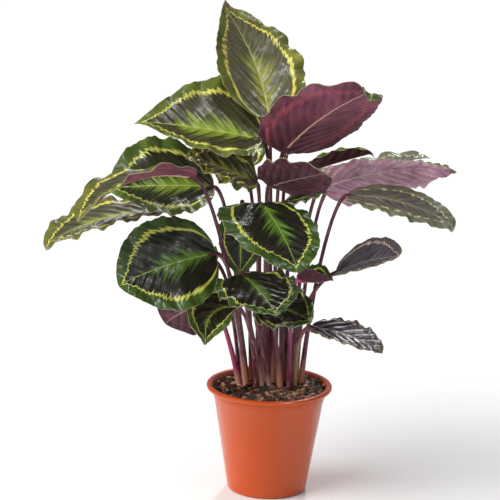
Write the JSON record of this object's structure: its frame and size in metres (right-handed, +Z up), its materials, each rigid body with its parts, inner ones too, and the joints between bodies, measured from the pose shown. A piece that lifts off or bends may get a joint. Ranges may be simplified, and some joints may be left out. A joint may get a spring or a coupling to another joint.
{
  "type": "potted calathea",
  "caption": "House plant in a tapered terracotta-coloured nursery pot: a clump of wine-red stalks, each with a broad waved leaf blade patterned green above and wine-red below.",
  "frame": {"origin": "middle of the pot's foot, on the surface that the pot stands on", "axes": "+Z up along the pot's axis; the plant's display side faces -Y; +X to the right of that side"},
  "size_m": [0.5399, 0.3852, 0.6463],
  "materials": {
    "pot_plastic": "injection-moulded polypropylene, terracotta colour, satin gloss",
    "potting_mix": "damp peat with bark chips, matt",
    "petiole": "fleshy wine-red stalk, slightly waxy",
    "blade": "leaf: green pattern above with a soft gloss, wine-red below"
  },
  "bodies": {
    "root": {"pot": "pot_plastic", "potting_mix": "potting_mix", "petiole_crown": "petiole", "blade_crown": "blade", "petiole_left_high": "petiole", "blade_left_high": "blade", "petiole_left_mid": "petiole", "blade_left_mid": "blade", "petiole_left_folded": "petiole", "blade_left_folded": "blade", "petiole_left_drooping": "petiole", "blade_left_drooping": "blade", "petiole_left_round": "petiole", "blade_left_round": "blade", "petiole_left_turned": "petiole", "blade_left_turned": "blade", "petiole_front_small": "petiole", "blade_front_small": "blade", "petiole_front_centre": "petiole", "blade_front_centre": "blade", "petiole_front_shaded": "petiole", "blade_front_shaded": "blade", "petiole_front_waved": "petiole", "blade_front_waved": "blade", "petiole_front_low": "petiole", "blade_front_low": "blade", "petiole_right_boat": "petiole", "blade_right_boat": "blade", "petiole_right_grey": "petiole", "blade_right_grey": "blade", "petiole_right_scalloped": "petiole", "blade_right_scalloped": "blade", "petiole_right_turned": "petiole", "blade_right_turned": "blade", "petiole_right_hidden": "petiole", "blade_right_hidden": "blade", "petiole_right_rolled": "petiole", "blade_right_rolled": "blade", "petiole_top_turned": "petiole", "blade_top_turned": "blade", "petiole_centre_turned": "petiole", "blade_centre_turned": "blade", "petiole_centre_shaded": "petiole", "blade_centre_shaded": "blade", "petiole_centre_waved": "petiole", "blade_centre_waved": "blade", "petiole_right_low": "petiole", "blade_right_low": "blade", "petiole_back_crown": "petiole", "blade_back_crown": "blade", "petiole_back_high": "petiole", "blade_back_high": "blade", "petiole_back_mid": "petiole", "blade_back_mid": "blade", "petiole_back_left": "petiole", "blade_back_left": "blade", "petiole_back_right": "petiole", "blade_back_right": "blade"}
  },
  "joints": []
}
